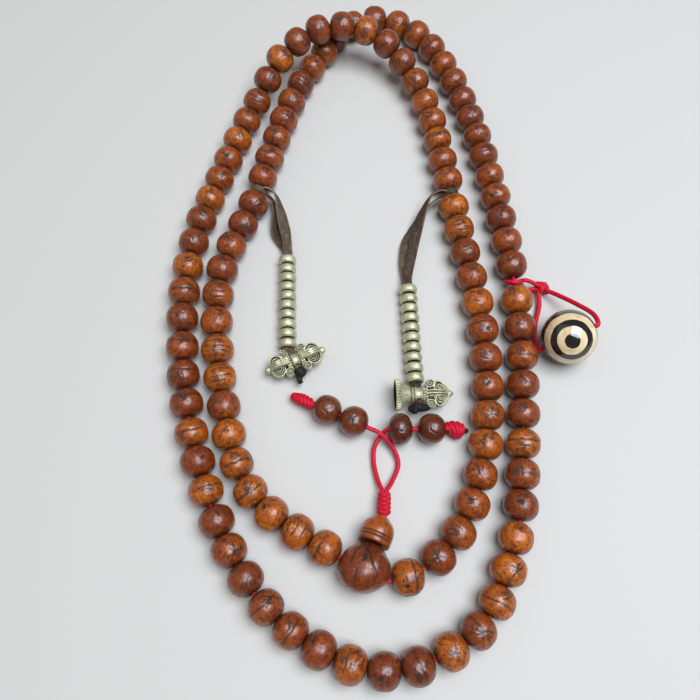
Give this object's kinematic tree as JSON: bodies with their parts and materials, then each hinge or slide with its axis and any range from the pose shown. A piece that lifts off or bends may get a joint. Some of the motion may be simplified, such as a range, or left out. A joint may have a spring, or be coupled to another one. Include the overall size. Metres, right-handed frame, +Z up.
{
  "type": "prayer beads",
  "caption": "String of round seed prayer beads with a guru bead and tower, a cord tassel, leather counter straps with metal rings, a vajra, a bell and a round charm bead.",
  "frame": {"origin": "centre of the small flat ground under the guru bead, on the plane the strand lies on", "axes": "+Y from the guru bead up the middle of the oval towards the crossing at its top, +X towards the charm bead, +Z up from the table"},
  "size_m": [0.1322, 0.234, 0.0207],
  "materials": {
    "beads_002_005": "satin polished seed",
    "beads_006_015": "satin polished seed",
    "beads_016_017": "satin polished seed",
    "beads_018_020": "satin polished seed",
    "beads_021_029": "satin polished seed",
    "beads_030_032": "satin polished seed",
    "beads_033_040": "satin polished seed",
    "beads_041_043": "satin polished seed",
    "beads_044_046": "satin polished seed",
    "beads_047_049": "satin polished seed",
    "beads_050_057": "satin polished seed",
    "beads_058_060": "satin polished seed",
    "beads_061_063": "satin polished seed",
    "beads_064_066": "satin polished seed",
    "beads_067_068": "satin polished seed",
    "beads_069_074": "satin polished seed",
    "beads_075_077": "satin polished seed",
    "beads_078_088": "satin polished seed",
    "beads_089_091": "satin polished seed",
    "beads_092_093": "satin polished seed",
    "beads_094_104": "satin polished seed",
    "beads_105_108": "satin polished seed",
    "bead_001": "satin polished seed",
    "guru_bead": "satin polished seed",
    "tower_bead": "satin turned seed",
    "guru_cord": "matt braided cord",
    "tassel_cord": "matt braided cord",
    "tassel_bead_left_inner": "polished",
    "tassel_bead_left_outer": "polished",
    "tassel_bead_right_inner": "polished",
    "tassel_bead_right_outer": "polished",
    "strap_left": "matt leather",
    "strap_right": "matt leather",
    "ring_left_01": "antique brass",
    "ring_left_02": "antique brass",
    "ring_left_03": "antique brass",
    "ring_left_04": "antique brass",
    "ring_left_05": "antique brass",
    "ring_left_06": "antique brass",
    "ring_left_07": "antique brass",
    "ring_left_08": "antique brass",
    "ring_left_09": "antique brass",
    "ring_left_10": "antique brass",
    "ring_right_01": "antique brass",
    "ring_right_02": "antique brass",
    "ring_right_03": "antique brass",
    "ring_right_04": "antique brass",
    "ring_right_05": "antique brass",
    "ring_right_06": "antique brass",
    "ring_right_07": "antique brass",
    "ring_right_08": "antique brass",
    "ring_right_09": "antique brass",
    "ring_right_10": "antique brass",
    "vajra": "antique brass",
    "bell": "antique brass",
    "charm_bead": "polished agate",
    "charm_cord": "matt braided cord"
  },
  "bodies": {
    "strand": {"beads_002_005": "beads_002_005", "beads_006_015": "beads_006_015", "beads_016_017": "beads_016_017", "beads_033_040": "beads_033_040", "beads_067_068": "beads_067_068", "beads_069_074": "beads_069_074", "beads_092_093": "beads_092_093", "beads_094_104": "beads_094_104", "beads_105_108": "beads_105_108", "guru_bead": "guru_bead", "guru_cord": "guru_cord", "tower_bead": "tower_bead"},
    "tassel": {"tassel_cord": "tassel_cord"},
    "tassel_bead_left_outer": {"tassel_bead_left_outer": "tassel_bead_left_outer"},
    "tassel_bead_left_inner": {"tassel_bead_left_inner": "tassel_bead_left_inner"},
    "tassel_bead_right_inner": {"tassel_bead_right_inner": "tassel_bead_right_inner"},
    "tassel_bead_right_outer": {"tassel_bead_right_outer": "tassel_bead_right_outer"},
    "counter_left": {"strap_left": "strap_left"},
    "counter_right": {"strap_right": "strap_right"},
    "vajra": {"vajra": "vajra"},
    "bell": {"bell": "bell"},
    "charm": {"charm_cord": "charm_cord"},
    "charm_bead": {"charm_bead": "charm_bead"},
    "upper_near": {"beads_018_020": "beads_018_020", "beads_030_032": "beads_030_032"},
    "upper_far": {"beads_021_029": "beads_021_029"},
    "lower_near": {"beads_075_077": "beads_075_077", "beads_089_091": "beads_089_091"},
    "lower_far": {"beads_078_088": "beads_078_088"},
    "outer_a": {"beads_041_043": "beads_041_043", "beads_064_066": "beads_064_066"},
    "outer_b": {"beads_044_046": "beads_044_046", "beads_061_063": "beads_061_063"},
    "outer_c": {"beads_047_049": "beads_047_049", "beads_058_060": "beads_058_060"},
    "outer_d": {"beads_050_057": "beads_050_057"},
    "first_bead": {"bead_001": "bead_001"},
    "ring_left_01": {"ring_left_01": "ring_left_01"},
    "ring_left_02": {"ring_left_02": "ring_left_02"},
    "ring_left_03": {"ring_left_03": "ring_left_03"},
    "ring_left_04": {"ring_left_04": "ring_left_04"},
    "ring_left_05": {"ring_left_05": "ring_left_05"},
    "ring_left_06": {"ring_left_06": "ring_left_06"},
    "ring_left_07": {"ring_left_07": "ring_left_07"},
    "ring_left_08": {"ring_left_08": "ring_left_08"},
    "ring_left_09": {"ring_left_09": "ring_left_09"},
    "ring_left_10": {"ring_left_10": "ring_left_10"},
    "ring_right_01": {"ring_right_01": "ring_right_01"},
    "ring_right_02": {"ring_right_02": "ring_right_02"},
    "ring_right_03": {"ring_right_03": "ring_right_03"},
    "ring_right_04": {"ring_right_04": "ring_right_04"},
    "ring_right_05": {"ring_right_05": "ring_right_05"},
    "ring_right_06": {"ring_right_06": "ring_right_06"},
    "ring_right_07": {"ring_right_07": "ring_right_07"},
    "ring_right_08": {"ring_right_08": "ring_right_08"},
    "ring_right_09": {"ring_right_09": "ring_right_09"},
    "ring_right_10": {"ring_right_10": "ring_right_10"}
  },
  "joints": [
    {"name": "tassel_lift", "type": "hinge", "parent": "strand", "child": "tassel", "pos_m": [0.00568, 0.01442, 0.00412], "axis": [1, 0, 0], "range_deg": [0, 45]},
    {"name": "counter_left_swing", "type": "hinge", "parent": "strand", "child": "counter_left", "pos_m": [-0.03446, 0.1215, 0.005], "axis": [-0.216, -0.9764, 0], "range_deg": [0, 90]},
    {"name": "counter_right_swing", "type": "hinge", "parent": "strand", "child": "counter_right", "pos_m": [0.03009, 0.12035, 0.00496], "axis": [-0.134, 0.991, -0.0053], "range_deg": [0, 90]},
    {"name": "vajra_spin", "type": "hinge", "parent": "counter_left", "child": "vajra", "pos_m": [-0.0203, 0.0608, 0.0037], "axis": [0.3827, -0.9239, 0], "continuous": true},
    {"name": "bell_spin", "type": "hinge", "parent": "counter_right", "child": "bell", "pos_m": [0.0165, 0.0496, 0.0045], "axis": [0.0349, -0.9994, 0], "continuous": true},
    {"name": "charm_swing", "type": "hinge", "parent": "strand", "child": "charm", "pos_m": [0.04831, 0.08682, 0.005], "axis": [0.0574, -0.9984, 0], "range_deg": [0, 55]},
    {"name": "charm_bead_spin", "type": "hinge", "parent": "charm", "child": "charm_bead", "pos_m": [0.0622, 0.0666, 0.0083], "axis": [0.85, 0.2389, 0.4695], "continuous": true},
    {"name": "upper_bend_near", "type": "hinge", "parent": "strand", "child": "upper_near", "pos_m": [-0.00839, 0.13825, 0.00506], "axis": [1, -0.0028, -0.0011], "range_deg": [0, 15]},
    {"name": "upper_bend_far", "type": "hinge", "parent": "upper_near", "child": "upper_far", "pos_m": [-0.00659, 0.16234, 0.00694], "axis": [0.9995, 0.018, -0.0251], "range_deg": [0, 15]},
    {"name": "lower_bend_near", "type": "hinge", "parent": "strand", "child": "lower_near", "pos_m": [0.00553, 0.13944, 0.005], "axis": [0.9999, 0.0125, 0], "range_deg": [0, 15]},
    {"name": "lower_bend_far", "type": "hinge", "parent": "lower_near", "child": "lower_far", "pos_m": [0.006, 0.16407, 0.005], "axis": [0.9998, 0.0192, 0], "range_deg": [0, 15]},
    {"name": "outer_bend_a", "type": "hinge", "parent": "strand", "child": "outer_a", "pos_m": [-0.0034, 0.06792, 0.005], "axis": [-0.9996, 0.0293, 0], "range_deg": [0, 15]},
    {"name": "outer_bend_b", "type": "hinge", "parent": "outer_a", "child": "outer_b", "pos_m": [-0.00216, 0.04052, 0.005], "axis": [-0.9995, 0.0321, 0], "range_deg": [0, 15]},
    {"name": "outer_bend_c", "type": "hinge", "parent": "outer_b", "child": "outer_c", "pos_m": [0.00028, 0.01457, 0.005], "axis": [-0.9988, 0.0491, 0], "range_deg": [0, 15]},
    {"name": "outer_bend_d", "type": "hinge", "parent": "outer_c", "child": "outer_d", "pos_m": [0.00195, -0.00924, 0.005], "axis": [-0.9956, 0.094, 0], "range_deg": [0, 15]},
    {"name": "tassel_bead_left_outer_slide", "type": "slide", "parent": "tassel", "child": "tassel_bead_left_outer", "axis": [0.9078, -0.419, 0.0175], "range_m": [0, 0.0012]},
    {"name": "tassel_bead_left_inner_slide", "type": "slide", "parent": "tassel_bead_left_outer", "child": "tassel_bead_left_inner", "axis": [0.9078, -0.419, 0.0175], "range_m": [0, 0.0012]},
    {"name": "tassel_bead_right_inner_slide", "type": "slide", "parent": "tassel", "child": "tassel_bead_right_inner", "axis": [0.9996, 0.0217, -0.0163], "range_m": [0, 0.0007]},
    {"name": "tassel_bead_right_outer_slide", "type": "slide", "parent": "tassel", "child": "tassel_bead_right_outer", "axis": [-0.9996, -0.0217, 0.0163], "range_m": [0, 0.0005]},
    {"name": "first_bead_slide", "type": "slide", "parent": "strand", "child": "first_bead", "axis": [-0.9794, -0.1935, 0.0583], "range_m": [-0.0003, 0.0003]},
    {"name": "ring_left_10_slide", "type": "slide", "parent": "counter_left", "child": "ring_left_10", "axis": [-0.0341, 0.9994, 0], "range_m": [0, 0.001]},
    {"name": "ring_left_09_slide", "type": "slide", "parent": "ring_left_10", "child": "ring_left_09", "axis": [-0.0341, 0.9994, 0], "range_m": [0, 0.001]},
    {"name": "ring_left_08_slide", "type": "slide", "parent": "ring_left_09", "child": "ring_left_08", "axis": [-0.0341, 0.9994, 0], "range_m": [0, 0.001]},
    {"name": "ring_left_07_slide", "type": "slide", "parent": "ring_left_08", "child": "ring_left_07", "axis": [-0.0341, 0.9994, 0], "range_m": [0, 0.001]},
    {"name": "ring_left_06_slide", "type": "slide", "parent": "ring_left_07", "child": "ring_left_06", "axis": [-0.0341, 0.9994, 0], "range_m": [0, 0.001]},
    {"name": "ring_left_05_slide", "type": "slide", "parent": "ring_left_06", "child": "ring_left_05", "axis": [-0.0341, 0.9994, 0], "range_m": [0, 0.001]},
    {"name": "ring_left_04_slide", "type": "slide", "parent": "ring_left_05", "child": "ring_left_04", "axis": [-0.0341, 0.9994, 0], "range_m": [0, 0.001]},
    {"name": "ring_left_03_slide", "type": "slide", "parent": "ring_left_04", "child": "ring_left_03", "axis": [-0.0341, 0.9994, 0], "range_m": [0, 0.001]},
    {"name": "ring_left_02_slide", "type": "slide", "parent": "ring_left_03", "child": "ring_left_02", "axis": [-0.0341, 0.9994, 0], "range_m": [0, 0.001]},
    {"name": "ring_left_01_slide", "type": "slide", "parent": "ring_left_02", "child": "ring_left_01", "axis": [-0.0341, 0.9994, 0], "range_m": [0, 0.001]},
    {"name": "ring_right_10_slide", "type": "slide", "parent": "counter_right", "child": "ring_right_10", "axis": [-0.0368, 0.9993, 0], "range_m": [0, 0.001]},
    {"name": "ring_right_09_slide", "type": "slide", "parent": "ring_right_10", "child": "ring_right_09", "axis": [-0.0368, 0.9993, 0], "range_m": [0, 0.001]},
    {"name": "ring_right_08_slide", "type": "slide", "parent": "ring_right_09", "child": "ring_right_08", "axis": [-0.0368, 0.9993, 0], "range_m": [0, 0.001]},
    {"name": "ring_right_07_slide", "type": "slide", "parent": "ring_right_08", "child": "ring_right_07", "axis": [-0.0368, 0.9993, 0], "range_m": [0, 0.001]},
    {"name": "ring_right_06_slide", "type": "slide", "parent": "ring_right_07", "child": "ring_right_06", "axis": [-0.0368, 0.9993, 0], "range_m": [0, 0.001]},
    {"name": "ring_right_05_slide", "type": "slide", "parent": "ring_right_06", "child": "ring_right_05", "axis": [-0.0368, 0.9993, 0], "range_m": [0, 0.001]},
    {"name": "ring_right_04_slide", "type": "slide", "parent": "ring_right_05", "child": "ring_right_04", "axis": [-0.0368, 0.9993, 0], "range_m": [0, 0.001]},
    {"name": "ring_right_03_slide", "type": "slide", "parent": "ring_right_04", "child": "ring_right_03", "axis": [-0.0368, 0.9993, 0], "range_m": [0, 0.001]},
    {"name": "ring_right_02_slide", "type": "slide", "parent": "ring_right_03", "child": "ring_right_02", "axis": [-0.0368, 0.9993, 0], "range_m": [0, 0.001]},
    {"name": "ring_right_01_slide", "type": "slide", "parent": "ring_right_02", "child": "ring_right_01", "axis": [-0.0368, 0.9993, 0], "range_m": [0, 0.001]}
  ],
  "couplings": [
    {"joint": "lower_bend_near", "follows": "upper_bend_near", "ratio": 1},
    {"joint": "lower_bend_far", "follows": "upper_bend_far", "ratio": 1}
  ]
}
